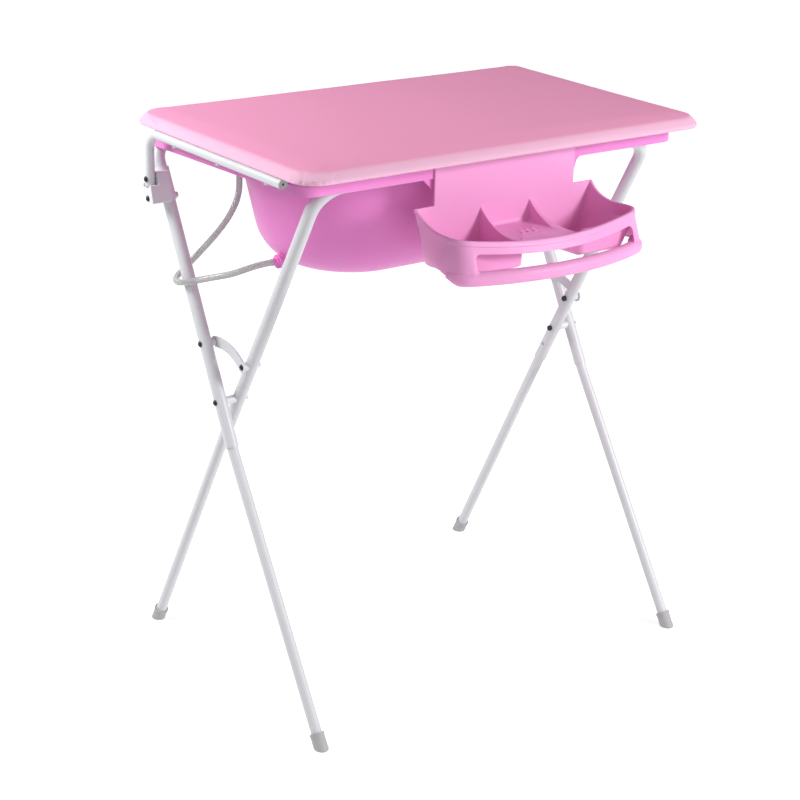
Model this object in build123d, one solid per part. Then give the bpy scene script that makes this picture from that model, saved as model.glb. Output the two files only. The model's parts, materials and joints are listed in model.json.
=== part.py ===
from build123d import *
from math import asin, atan2, cos, degrees, hypot, radians, sin, tan
import os

os.makedirs("parts", exist_ok=True)

# Folding changing table with a bathtub under its lid, all lengths in millimetres.
# X runs along the long side, minus Y is the front with the tray, Z is up, feet at zero.
# Places in Y are measured from the scissor pivot and centred on the whole part at the end.

# Clearances shared by all pieces
seat_gap = 0.3
slip_gap = 0.1
running_gap = 0.05
overrun = 5.0

# Lengths along the long side, each set from the lid's
lid_length = 854.0
frame_set_in = 37.6
rim_set_in = 30.5
basin_set_in = 67.6
arm_set_in = 6.0
outer_leg_splay = 4.7
outer_foot_splay = 4.5
frame_spacing_at_bar = 37.9
frame_spacing_at_seam = 36.7
frame_spacing_at_foot = 35.7
drain_boss_out = 146.0
spout_length = 10.0

# Stand tubes
upper_tube_diameter = 22.2
lower_tube_diameter = 19.0
tube_wall = 1.2
seam_height = 446.0
spigot_length = 45.0
kink_drop = 8.0
kink_radius = 70.0

# Outer frame, whose legs stand in front and whose top bar runs at the back
outer_bar_x = lid_length / 2 - frame_set_in
outer_seam_x = outer_bar_x + outer_leg_splay
outer_seam_y = -33.9
outer_bar_y = 210.1
outer_foot_x = outer_seam_x + outer_foot_splay
outer_foot_y = -304.4
outer_bend_radius = 36.0

# Inner frame, whose legs stand behind and whose top bar runs in front
inner_bar_x = outer_bar_x - frame_spacing_at_bar
inner_seam_x = outer_seam_x - frame_spacing_at_seam
inner_seam_y = 40.7
inner_bar_y = -217.3
inner_foot_x = outer_foot_x - frame_spacing_at_foot
inner_foot_y = 273.0
inner_bend_radius = 48.0

# Feet
foot_wall = 2.4
foot_length = 28.0
foot_floor = 5.0
foot_edge_radius = 2.0
foot_collar = 0.6
foot_collar_height = 5.0

# Bathtub
rim_length = lid_length - 2 * rim_set_in
rim_depth = 466.0
rim_top = 935.0
rim_setback = -7.0
rim_corner_radius = 30.0
rim_edge_radius = 5.0
lip_drop = 19.0
tub_wall = 3.5
basin_mouth_radius = 188.9
basin_straight = rim_length - 2 * (basin_set_in + basin_mouth_radius)
basin_depth = 203.5
basin_draft = 12.9
basin_floor_radius = 90.0
basin_roll_radius = 9.0
basin_root_radius = 6.0
basin_root_width = 10.0

# Drain
drain_height = 746.0
drain_boss_radius = 12.0
drain_boss_reach = basin_straight / 2 + drain_boss_out
spout_tip_reach = drain_boss_reach + spout_length
spout_bore_radius = 4.0
spout_shank_radius = 6.0
spout_flange_radius = 9.0
spout_flange_width = 3.0
hose_diameter = 11.0

# Accessory tray
tray_center_x = 7.0
tray_wall = 3.6
tray_back_top = 872.0
tray_base = 773.0
tray_top_half_length = 190.0
tray_bar_half_length = 222.0
tray_rear_half_length = 163.0
tray_front_top_reach = 362.0
tray_side_top_reach = 350.0
tray_side_base_reach = 366.0
tray_corner_top_radius = 22.0
tray_corner_base_radius = 46.0
rail_reach = 403.0
rail_depth = 22.0
rail_height = 24.0
rail_end_reach = 344.0
apron_lower_mid = 814.0
apron_lower_end = 824.0
rail_gap_half_length = 168.0
rail_gap_corner = 9.0
rail_gap_sink = 3.0
rim_step_reach = 335.0
rim_lip = 1.6
rim_lip_height = 8.0
front_rim_mid = 832.5
side_rim_low = 846.5
side_rim_radius = 88.0
cheek_reaches = (366.0, 350.0, 322.0, 275.0)
cheek_heights = (768.0, 784.0, 790.0, 783.0)
cheek_back_height = 778.0
partition_wall = 3.6
partition_left_x = -48.0
partition_right_x = 57.0
partition_back_top = 858.0
partition_low = 821.6
partition_radius = 106.0
bin_floor = 780.0
bin_draft = 3.0
bin_corner_radius = 13.0
bin_bottom_radius = 7.0
bin_front_reach = 354.0
bin_left_outer = -150.0
bin_right_inner = 76.0
bin_right_outer = 172.0
bin_top_half_length = 214.0
dish_floor = 818.0
dish_bump_radius = 3.2
dish_bump_pitch = 13.0
dish_bump_rows = 2
dish_bump_columns = 3
panel_half_length = 149.5
panel_center_x = 5.5
panel_bottom = 790.0
hook_depth = 46.0
gusset_length = 19.0
gusset_drop = 18.0

# Lid
lid_depth = 516.5
lid_corner_radius = 45.0
lid_front_y = -287.4
lid_front_z = 945.0
lid_tilt = 1.38
pad_height = 30.0
pad_side_height = 22.0
pad_side_set_in = 15.5
pad_foot_height = 8.0
pad_foot_set_in = 0.6
pad_side_draw = 1.2
pad_crown_long = 5.0
pad_crown_wide = 6.0
pad_wrap = 3.0
board_thickness = 6.0

# Lid arms and their hinge
arm_diameter = 16.0
arm_x = lid_length / 2 - arm_set_in
arm_front_y = -219.0
arm_bend_radius = 30.0
pin_y = 172.0
pin_z = 868.0
arm_tail = 12.0
arm_screw_radius = 2.0
arm_screw_head_radius = 3.8
arm_screw_head_height = 2.2
arm_screw_bite = 4.5
arm_plug_length = 12.0
arm_plug_head = 1.6
arm_screw_shares = (0.12, 0.5, 0.86)

# Hinge brackets
bracket_wall = 2.4
sleeve_low = 829.0
sleeve_high = 879.0
cup_wall = 6.0
cup_stop_drop = 8.7
cup_back_reach = 15.0
bracket_edge_radius = 2.0

# Bolts
bolt_radius = 3.0
bolt_head_radius = 5.2
bolt_head_height = 2.6
head_shoulder_share = 0.75
nut_radius = 5.0
nut_height = 4.0

# Scissor joint and lock links
spacer_radius = 7.0
link_thickness = 3.0
link_width = 18.5
link_end_radius = 10.5
link_rise = 10.0
link_pivot_rise = 67.6
link_catch_rise = 90.6
catch_slot_gap = 0.35
catch_collar_radius = 5.0
rivet_radius = 1.8
rivet_height = 0.8
rivet_share = 0.9

# Snap buttons
button_radius = 2.6
button_rise = 1.4
button_height = 38.0
button_inside = 3.0

# Hose clip
clip_wall = 2.4
clip_height = 12.0

# Drain hose route, chosen by hand, as steps along X, Y and Z from the spout's tip
hose_steps = [
    (-0.2, 0.0, 0.0),
    (-22.0, 0.0, 0.0),
    (-50.0, 1.5, -4.0),
    (-74.0, 9.0, -11.0),
    (-93.0, 33.0, -19.0),
    (-106.0, 62.0, -29.0),
    (-115.0, 95.0, -40.0),
    (-112.0, 125.0, -47.0),
    (-98.0, 143.0, -42.0),
    (-78.0, 138.0, -24.0),
    (-56.0, 124.0, 4.0),
    (-27.0, 124.0, 28.0),
    (1.0, 130.0, 51.0),
    (22.0, 133.0, 83.0),
    (31.0, 145.0, 120.0),
    (33.0, 154.0, 150.0),
    (33.0, 154.0, 176.0),
]
hose_radius_share = 0.45


def tube_axis_y(seam_y, bar_y, z):
    """Y of an upper leg's axis at height z."""
    share = (z - seam_height) / (bar_z - seam_height)
    return seam_y + (bar_y - seam_y) * share


def tube_axis_x(seam_x, bar_x, z):
    """X of an upper leg's axis at height z."""
    share = (z - seam_height) / (bar_z - seam_height)
    return seam_x + (bar_x - seam_x) * share


bar_z = rim_top - tub_wall - seat_gap - upper_tube_diameter / 2
upper_radius = upper_tube_diameter / 2
lower_radius = lower_tube_diameter / 2
arm_radius = arm_diameter / 2
hose_radius = hose_diameter / 2
seam_apart = inner_seam_y - outer_seam_y
bars_apart = outer_bar_y - inner_bar_y
pivot_z = seam_height + (bar_z - seam_height) * seam_apart / (seam_apart + bars_apart)
pivot_y = tube_axis_y(outer_seam_y, outer_bar_y, pivot_z)
link_pivot_z = pivot_z + link_pivot_rise
link_catch_z = pivot_z + link_catch_rise
rim_front = rim_setback - rim_depth / 2
lip_low = rim_top - lip_drop
hose_route = [
    (x - spout_tip_reach, y + rim_setback, z + drain_height) for x, y, z in hose_steps
]
parts = {}


def add(name, shape):
    """Keeps a finished sub-part under its node name."""
    parts[name] = shape


def mirrored(shape):
    """The same piece for the other side."""
    return mirror(shape, Plane.YZ)


def rod_x(radius, x_from, x_to, y, z):
    """A round bar along X between two places."""
    low = min(x_from, x_to)
    bar = Cylinder(radius, abs(x_to - x_from), rotation=(0, 90, 0), align=(Align.CENTER,) * 3)
    return Pos(low + abs(x_to - x_from) / 2, y, z) * bar


def tube(points, radius, wall, bend_radii):
    """A hollow tube whose centre line runs through the points with rounded bends."""
    path = FilletPolyline(*points, radius=bend_radii)
    ring = Circle(radius) - Circle(radius - wall)
    return sweep(Plane(path @ 0, z_dir=path % 0) * ring, path=path)


def solid_rod(start, end, radius):
    """A solid round bar between two points."""
    path = Line(start, end)
    return sweep(Plane(path @ 0, z_dir=path % 0) * Circle(radius), path=path)


def along(start, end, distance):
    """The point at a distance from start towards end."""
    a = Vector(*start)
    b = Vector(*end)
    return a + (b - a).normalized() * distance


def domed_head(x, y, z, side):
    """A low round head whose flat lies at x and whose dome looks along side in X."""
    flat = bolt_head_radius
    crown = side * bolt_head_height
    shoulder = (bolt_head_height * head_shoulder_share * side, flat * head_shoulder_share)
    profile = make_face(
        [
            Line((0, 0), (crown, 0)),
            ThreePointArc((crown, 0), shoulder, (0, flat)),
            Line((0, flat), (0, 0)),
        ]
    )
    plane = Plane(origin=(x, y, z), x_dir=(1, 0, 0), z_dir=(0, -1, 0))
    return revolve(plane * profile, axis=Axis((x, y, z), (1, 0, 0)))


def cross_bolt(x_head, x_end, y, z, nut_from=None):
    """A through bolt along X with a domed head and, if asked, a cap nut on its end."""
    side = 1 if x_head > x_end else -1
    head = domed_head(x_head, y, z, side)
    shank = rod_x(bolt_radius, x_head, x_end, y, z)
    bolt = head + shank
    if nut_from is not None:
        bolt = bolt + rod_x(nut_radius, nut_from, nut_from - side * nut_height, y, z)
    return bolt


# Stand frames
def frame_points(seam_x, seam_y, bar_x, bar_y):
    """Centre line of one bent upper frame, from seam to seam over its top bar."""
    return [
        (-seam_x, seam_y, seam_height),
        (-bar_x, bar_y, bar_z),
        (bar_x, bar_y, bar_z),
        (seam_x, seam_y, seam_height),
    ]


def lower_leg_points(seam, bar, foot):
    """Centre line of a lower leg, from inside the upper tube to just above the floor."""
    top = along(seam, bar, spigot_length)
    kink = along(seam, bar, -kink_drop)
    lean = abs(foot[1] - kink.Y) / kink.Z
    end = along(foot, kink, foot_floor + seat_gap + lower_radius * lean)
    return [top, kink, end]


def foot_cap(foot, kink):
    """A moulded cap on a leg end, cut level where it stands on the floor."""
    low = along(foot, kink, -foot_length)
    high = along(foot, kink, foot_length)
    body = solid_rod(low, high, lower_radius + slip_gap + foot_wall)
    collar_from = along(foot, kink, foot_length - foot_collar_height)
    collar = solid_rod(collar_from, high, lower_radius + slip_gap + foot_wall + foot_collar)
    body = body + collar
    below = Pos(foot[0], foot[1], -foot_length) * Box(4 * foot_length, 4 * foot_length, 2 * foot_length)
    body = body - below
    rest_edges = body.edges().filter_by_position(Axis.Z, -slip_gap, slip_gap)
    body = fillet(rest_edges, foot_edge_radius)
    return body


def stand():
    """Both upper frames, the four lower legs and the feet."""
    outer = tube(
        frame_points(outer_seam_x, outer_seam_y, outer_bar_x, outer_bar_y),
        upper_radius,
        tube_wall,
        outer_bend_radius,
    )
    inner = tube(
        frame_points(inner_seam_x, inner_seam_y, inner_bar_x, inner_bar_y),
        upper_radius,
        tube_wall,
        inner_bend_radius,
    )
    hole = bolt_radius + slip_gap
    reach = outer_foot_x + upper_tube_diameter
    for z in (pivot_z, link_catch_z, bracket_bolt_z):
        y = tube_axis_y(outer_seam_y, outer_bar_y, z)
        outer = outer - rod_x(hole, -reach, reach, y, z)
    for z in (pivot_z, link_pivot_z):
        y = tube_axis_y(inner_seam_y, inner_bar_y, z)
        inner = inner - rod_x(hole, -reach, reach, y, z)
    buttons = []
    for name, side in (("left", -1), ("right", 1)):
        for frame, data in (("outer", outer_leg(side)), ("inner", inner_leg(side))):
            seam, bar, foot = data
            points = lower_leg_points(seam, bar, foot)
            leg = tube(points, lower_radius, tube_wall, kink_radius)
            middle = along(seam, bar, button_height)
            if frame == "inner":
                facing = Vector(-side, 0, 0)
            else:
                axis = (Vector(*bar) - Vector(*seam)).normalized()
                facing = axis.cross(Vector(side, 0, 0)).normalized() * side
            tip = middle + facing * (upper_radius + button_rise)
            root = middle + facing * (lower_radius - tube_wall - button_inside)
            buttons.append(solid_rod(root, tip, button_radius))
            bore = solid_rod(root, tip, button_radius + slip_gap)
            leg = leg - bore
            if frame == "outer":
                outer = outer - bore
            else:
                inner = inner - bore
            cap = foot_cap(foot, points[1])
            end = Vector(*points[2])
            reach = along(foot, points[1], 2 * foot_length)
            cavity_start = end - (Vector(*reach) - end).normalized() * seat_gap
            cap = cap - solid_rod(cavity_start, reach, lower_radius + slip_gap)
            add(f"lower_leg_{frame}_{name}", leg)
            add(f"foot_{frame}_{name}", cap)
    add("outer_frame", outer)
    add("inner_frame", inner)
    add("snap_buttons", Compound(buttons))


def outer_leg(side):
    """Seam, bar end and foot of an outer leg."""
    seam = (side * outer_seam_x, outer_seam_y, seam_height)
    bar = (side * outer_bar_x, outer_bar_y, bar_z)
    foot = (side * outer_foot_x, outer_foot_y, 0)
    return seam, bar, foot


def inner_leg(side):
    """Seam, bar end and foot of an inner leg."""
    seam = (side * inner_seam_x, inner_seam_y, seam_height)
    bar = (side * inner_bar_x, inner_bar_y, bar_z)
    foot = (side * inner_foot_x, inner_foot_y, 0)
    return seam, bar, foot


# Scissor joint and lock links
def scissor_joint():
    """The bolt, nut and spacer where the two legs of each side cross."""
    outer_x = tube_axis_x(outer_seam_x, outer_bar_x, pivot_z)
    inner_x = tube_axis_x(inner_seam_x, inner_bar_x, pivot_z)
    spacer = rod_x(spacer_radius, inner_x, outer_x, pivot_y, pivot_z)
    spacer = spacer - rod_x(bolt_radius + slip_gap, inner_x, outer_x, pivot_y, pivot_z)
    for leg in (outer_leg(1), inner_leg(1)):
        spacer = spacer - solid_rod(leg[0], leg[1], upper_radius + slip_gap)
    spacer = max(spacer.solids(), key=lambda s: s.volume)
    head_x = outer_x + upper_radius + slip_gap
    nut_x = inner_x - upper_radius - slip_gap
    bolt = cross_bolt(head_x, nut_x - nut_height, pivot_y, pivot_z, nut_x)
    add("scissor_spacers", Compound([spacer, mirrored(spacer)]))
    add("scissor_bolts", Compound([bolt, mirrored(bolt)]))


def lock_link():
    """The curved hook plate of each side, its pivot bolt, spacer and catch bolt."""
    pivot = Vector(0, tube_axis_y(inner_seam_y, inner_bar_y, link_pivot_z), link_pivot_z)
    catch = Vector(0, tube_axis_y(outer_seam_y, outer_bar_y, link_catch_z), link_catch_z)
    outer_x = tube_axis_x(outer_seam_x, outer_bar_x, link_catch_z)
    inner_x = tube_axis_x(inner_seam_x, inner_bar_x, link_pivot_z)
    plate_x = (outer_x - upper_radius + inner_x + upper_radius) / 2
    span = catch - pivot
    middle = pivot + span / 2 + Vector(0, -span.Z, span.Y).normalized() * link_rise
    half = link_width / 2
    bow = (span.length**2 / 4 + link_rise**2) / (2 * link_rise)
    center = middle - Vector(0, -span.Z, span.Y).normalized() * bow
    start = atan2(pivot.Z - center.Z, pivot.Y - center.Y)
    end = atan2(catch.Z - center.Z, catch.Y - center.Y)
    mid = (start + end) / 2

    def at(radius, angle):
        return (center.Y + radius * cos(angle), center.Z + radius * sin(angle))

    band = make_face(
        [
            ThreePointArc(at(bow + half, start), at(bow + half, mid), at(bow + half, end)),
            Line(at(bow + half, end), at(bow - half, end)),
            ThreePointArc(at(bow - half, end), at(bow - half, mid), at(bow - half, start)),
            Line(at(bow - half, start), at(bow + half, start)),
        ]
    )
    outline = band + Pos(pivot.Y, pivot.Z) * Circle(link_end_radius)
    outline = outline + Pos(catch.Y, catch.Z) * Circle(half)
    slot_radius = bolt_radius + catch_slot_gap
    away = Vector(-span.Z, span.Y, 0).normalized() * -link_width
    slot = Pos(catch.Y, catch.Z) * Circle(slot_radius)
    mouth = Rot(0, 0, degrees(atan2(span.Z, span.Y))) * Rectangle(2 * slot_radius, link_width)
    mouth = Pos(catch.Y + away.X / 2, catch.Z + away.Y / 2) * mouth
    hole = Pos(pivot.Y, pivot.Z) * Circle(bolt_radius + running_gap)
    outline = outline - slot - mouth - hole
    plane = Plane(origin=(plate_x - link_thickness / 2, 0, 0), x_dir=(0, 1, 0), z_dir=(1, 0, 0))
    link = extrude(plane * outline, amount=link_thickness)
    angle = start + (end - start) * rivet_share
    dot = at(bow + half / 2, angle)
    link = link + rod_x(rivet_radius, plate_x, plate_x + link_thickness / 2 + rivet_height, dot[0], dot[1])

    plate_out = plate_x + link_thickness / 2
    plate_in = plate_x - link_thickness / 2
    head_x = plate_out + slip_gap
    nut_x = inner_x - upper_radius - slip_gap
    pivot_bolt = cross_bolt(head_x, nut_x - nut_height, pivot.Y, pivot.Z, nut_x)
    spacer = rod_x(spacer_radius, inner_x, plate_in - slip_gap, pivot.Y, pivot.Z)
    spacer = spacer - rod_x(bolt_radius + slip_gap, inner_x, plate_in, pivot.Y, pivot.Z)
    spacer = spacer - solid_rod(*inner_leg(1)[:2], upper_radius + slip_gap)
    spacer = max(spacer.solids(), key=lambda s: s.volume)
    catch_end = plate_in - seat_gap
    catch_bolt = cross_bolt(outer_x + upper_radius + slip_gap, catch_end - link_thickness, catch.Y, catch.Z)
    catch_bolt = catch_bolt + rod_x(
        catch_collar_radius, catch_end, catch_end - link_thickness, catch.Y, catch.Z
    )
    collar = rod_x(spacer_radius, outer_x, plate_out + seat_gap, catch.Y, catch.Z)
    collar = collar - rod_x(bolt_radius + slip_gap, outer_x, plate_in, catch.Y, catch.Z)
    collar = collar - solid_rod(*outer_leg(1)[:2], upper_radius + slip_gap)
    collar = max(collar.solids(), key=lambda s: s.volume)
    add("lock_link_right", link)
    add("lock_link_left", mirrored(link))
    add("lock_pivot_bolts", Compound([pivot_bolt, mirrored(pivot_bolt)]))
    add("lock_catch_bolts", Compound([catch_bolt, mirrored(catch_bolt)]))
    spacers = [spacer, collar, mirrored(spacer), mirrored(collar)]
    add("lock_spacers", Compound(spacers))
    print("lock pivot", plate_x, pivot.Y, pivot.Z)


# Hinge brackets
bracket_bolt_z = sleeve_low + (upper_radius + bracket_wall) / 2


def hinge_bracket():
    """A moulded sleeve on the outer leg with a wing and a cup for the arm's end."""
    seam, bar, foot = outer_leg(1)
    leg_length = (Vector(*bar) - Vector(*seam)).length
    low = along(seam, bar, leg_length * (sleeve_low - seam_height) / (bar_z - seam_height))
    high = along(seam, bar, leg_length * (sleeve_high - seam_height) / (bar_z - seam_height))
    sleeve = solid_rod(low, high, upper_radius + slip_gap + bracket_wall)
    leg_x = tube_axis_x(outer_seam_x, outer_bar_x, pin_z)
    plate_out = arm_x - arm_radius - seat_gap
    cup_out = arm_x + arm_radius
    swing = hypot(arm_radius, arm_tail) + seat_gap
    low_y = tube_axis_y(outer_seam_y, outer_bar_y, sleeve_low)
    high_y = tube_axis_y(outer_seam_y, outer_bar_y, sleeve_high)
    reach = upper_radius + bracket_wall
    wing_points = [
        (low_y - reach, sleeve_low),
        (low_y, sleeve_low),
        (pin_y + cup_back_reach, pin_z - swing - cup_wall),
        (pin_y + swing + cup_wall / 2, pin_z - cup_stop_drop - cup_wall / 2),
        (pin_y + swing + cup_wall / 2, pin_z - cup_stop_drop),
        (pin_y + arm_radius, pin_z - cup_stop_drop),
        (pin_y + arm_radius, sleeve_high),
        (pin_y - arm_radius, sleeve_high),
        (pin_y - swing, pin_z - cup_stop_drop),
    ]
    plane = Plane(origin=(leg_x, 0, 0), x_dir=(0, 1, 0), z_dir=(1, 0, 0))
    wing = make_face(Polyline(*wing_points, close=True))
    wing = fillet(wing.vertices(), bracket_edge_radius)
    plate = extrude(plane * wing, amount=plate_out - leg_x)
    cup_points = [
        (low_y - reach, sleeve_low),
        (low_y, sleeve_low),
        (pin_y + cup_back_reach, pin_z - swing - cup_wall),
        (pin_y + swing + cup_wall / 2, pin_z - cup_stop_drop - cup_wall / 2),
        (pin_y + swing + cup_wall / 2, pin_z - cup_stop_drop),
        (pin_y - swing, pin_z - cup_stop_drop),
    ]
    cup_face = make_face(Polyline(*cup_points, close=True))
    cup_face = fillet(cup_face.vertices(), bracket_edge_radius)
    cup = extrude(plane * cup_face, amount=cup_out - leg_x)
    pocket = rod_x(swing, plate_out, cup_out + overrun, pin_y, pin_z)
    stop_low = pin_z - arm_tail - seat_gap
    tail = Pos((plate_out + cup_out + overrun) / 2, pin_y, (pin_z + stop_low) / 2) * Box(
        cup_out + overrun - plate_out, 2 * (arm_radius + seat_gap), pin_z - stop_low
    )
    sweep_front = pocket & (
        Pos((plate_out + cup_out) / 2, pin_y - 2 * swing + arm_radius + seat_gap, pin_z)
        * Box(4 * swing, 4 * swing, 4 * swing)
    )
    body = sleeve + plate + cup - tail - sweep_front
    body = body - solid_rod(seam, bar, upper_radius + slip_gap)
    pin_hole = rod_x(bolt_radius, leg_x, plate_out, pin_y, pin_z)
    body = body - (pin_hole & rod_x(bolt_radius, pin_root_x, plate_out, pin_y, pin_z))
    bolt_y = tube_axis_y(outer_seam_y, outer_bar_y, bracket_bolt_z)
    body = body - rod_x(bolt_radius + slip_gap, leg_x - reach - overrun, cup_out, bolt_y, bracket_bolt_z)
    body = max(body.solids(), key=lambda s: s.volume)
    add("hinge_bracket_right", body)
    add("hinge_bracket_left", mirrored(body))

    pin = domed_head(arm_x + arm_radius + slip_gap, pin_y, pin_z, 1)
    pin = pin + rod_x(bolt_radius, arm_x + arm_radius + slip_gap, pin_root_x + slip_gap, pin_y, pin_z)
    add("hinge_pins", Compound([pin, mirrored(pin)]))
    clamp = cross_bolt(cup_out, leg_x - reach - nut_height, bolt_y, bracket_bolt_z, leg_x - reach)
    add("bracket_bolts", Compound([clamp, mirrored(clamp)]))


pin_root_x = arm_x - arm_radius - seat_gap - bracket_wall - bolt_radius


# Lid
lid_plane = Plane(
    origin=(0, lid_front_y, lid_front_z),
    x_dir=(1, 0, 0),
    z_dir=(0, -sin(radians(lid_tilt)), cos(radians(lid_tilt))),
)


def lid_under_z(y):
    """Height of the lid's underside at y."""
    return lid_front_z + (y - lid_front_y) * tan(radians(lid_tilt))


def drawn_outline(length, depth, corner, draw):
    """A rounded rectangle whose sides bow inward between the corners."""
    x = length / 2
    y = depth / 2
    sides = [
        ThreePointArc((-x, -y), (0, -y + draw), (x, -y)),
        ThreePointArc((x, -y), (x - draw, 0), (x, y)),
        ThreePointArc((x, y), (0, y - draw), (-x, y)),
        ThreePointArc((-x, y), (-x + draw, 0), (-x, -y)),
    ]
    face = make_face(sides)
    return fillet(face.vertices(), corner)


def changing_lid():
    """The crowned pad wrapped round its board."""
    lean = (pad_side_set_in - pad_foot_set_in) / (pad_side_height - pad_foot_height)
    tall = pad_height + overrun
    levels = [
        (0, 0),
        (pad_foot_height, pad_foot_set_in),
        (tall, pad_foot_set_in + lean * (tall - pad_foot_height)),
    ]
    outlines = []
    for z, inset in levels:
        outline = drawn_outline(
            lid_length - 2 * inset, lid_depth - 2 * inset, lid_corner_radius - inset, pad_side_draw
        )
        outlines.append(Pos(0, 0, z) * outline)
    block = loft(outlines, ruled=True)
    half_long = lid_length / 2 - pad_side_set_in
    half_wide = lid_depth / 2 - pad_side_set_in
    long_bow = half_long**2 / (2 * pad_crown_long)
    edge_z = pad_height - pad_crown_wide * (lid_depth / 2 / half_wide) ** 2
    crown_face = make_face(
        [
            ThreePointArc((-lid_depth / 2, edge_z), (0, pad_height), (lid_depth / 2, edge_z)),
            Line((lid_depth / 2, edge_z), (lid_depth / 2, -overrun)),
            Line((lid_depth / 2, -overrun), (-lid_depth / 2, -overrun)),
            Line((-lid_depth / 2, -overrun), (-lid_depth / 2, edge_z)),
        ]
    )
    side_plane = Plane(origin=(0, 0, 0), x_dir=(0, 1, 0), z_dir=(1, 0, 0))
    swing = degrees(asin(lid_length / 2 / (long_bow - pad_height)))
    axis = Axis((0, 0, pad_height - long_bow), (0, 1, 0))
    crown_half = revolve(side_plane * crown_face, axis=axis, revolution_arc=swing)
    crown = crown_half + mirrored(crown_half)
    pad = block & crown
    pocket = RectangleRounded(
        lid_length - 2 * pad_wrap,
        lid_depth - 2 * pad_wrap,
        lid_corner_radius - pad_wrap,
    )
    pad = pad - extrude(pocket, amount=board_thickness + seat_gap)
    pad = Pos(0, lid_depth / 2, 0) * pad
    board = RectangleRounded(
        lid_length - 2 * pad_wrap - 2 * seat_gap,
        lid_depth - 2 * pad_wrap - 2 * seat_gap,
        lid_corner_radius - pad_wrap - seat_gap,
    )
    board = Pos(0, lid_depth / 2, 0) * extrude(board, amount=board_thickness)
    pad = lid_plane.location * pad
    board = lid_plane.location * board

    lower = arm_radius + seat_gap / 2
    points = [
        (arm_x, arm_front_y, lid_under_z(arm_front_y) - lower),
        (arm_x, pin_y, lid_under_z(pin_y) - lower),
        (arm_x, pin_y, pin_z - arm_tail),
    ]
    arm = tube(points, arm_radius, tube_wall, arm_bend_radius)
    arm = arm - rod_x(bolt_radius + running_gap, arm_x - arm_diameter, arm_x + arm_diameter, pin_y, pin_z)
    screws = []
    for share in arm_screw_shares:
        y = arm_front_y + (pin_y - arm_bend_radius - arm_front_y) * share
        under = lid_under_z(y)
        low = under - lower - arm_radius - seat_gap
        tip = under + arm_screw_bite
        screw = Pos(arm_x, y, (low + tip) / 2) * Cylinder(arm_screw_radius, tip - low)
        head_z = low - arm_screw_head_height / 2
        screw = screw + Pos(arm_x, y, head_z) * Cylinder(arm_screw_head_radius, arm_screw_head_height)
        bore = Pos(arm_x, y, (low + tip) / 2) * Cylinder(arm_screw_radius + slip_gap, tip - low + 2 * slip_gap)
        arm = arm - bore
        board = board - bore - mirrored(bore)
        screws.append(screw)
        screws.append(mirrored(screw))
    start = Vector(*points[0])
    inward = (Vector(*points[1]) - start).normalized()
    plug = solid_rod(
        start,
        (start + inward * arm_plug_length),
        arm_radius - tube_wall - slip_gap,
    )
    plug = plug + solid_rod((start - inward * arm_plug_head), start, arm_radius)
    socket = solid_rod((start - inward * arm_plug_head), start, arm_screw_radius)
    plug = plug - socket
    add("changing_pad", pad)
    add("changing_board", board)
    add("lid_arm_right", arm)
    add("lid_arm_left", mirrored(arm))
    add("arm_screws", Compound(screws))
    add("arm_end_plugs", Compound([plug, mirrored(plug)]))


# Bathtub
def basin_solid(inset):
    """The basin's outer form, or its hollow where inset is the wall."""
    floor = rim_top - tub_wall - basin_depth + inset
    top = rim_top if inset else rim_top - tub_wall
    lean = tan(radians(basin_draft))
    side_inset = inset / cos(radians(basin_draft))
    mouth = basin_mouth_radius - side_inset + (top - rim_top + tub_wall) * lean
    foot = mouth - (top - floor) * lean
    bottom_radius = basin_floor_radius - inset
    if inset:
        outline = [(0, floor), (foot, floor), (mouth, top), (mouth + basin_roll_radius, top)]
        outline = outline + [(mouth + basin_roll_radius, top + overrun), (0, top + overrun)]
        bends = {1: bottom_radius, 2: basin_roll_radius}
    else:
        wide = mouth + basin_root_width
        outline = [(0, floor), (foot, floor), (mouth, top), (wide, top), (wide, rim_top), (0, rim_top)]
        bends = {1: bottom_radius, 2: basin_root_radius}
    face = make_face(Polyline(*outline, close=True))
    for index, radius in bends.items():
        x, z = outline[index]
        corner = face.vertices().sort_by_distance((x, z, 0))[0]
        face = fillet(corner, radius)
    half = basin_straight / 2
    end_plane = Plane(origin=(half, rim_setback, 0), x_dir=(0, 1, 0), z_dir=(1, 0, 0))
    end = revolve(end_plane * face, axis=Axis((half, rim_setback, 0), (0, 0, 1)), revolution_arc=-180)
    if end.center().X < half:
        end = revolve(end_plane * face, axis=Axis((half, rim_setback, 0), (0, 0, 1)), revolution_arc=180)
    middle = extrude(end_plane * face, amount=-basin_straight)
    back = mirror(middle, Plane(origin=(0, rim_setback, 0), z_dir=(0, 1, 0)))
    return end + mirrored(end) + middle + back


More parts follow.
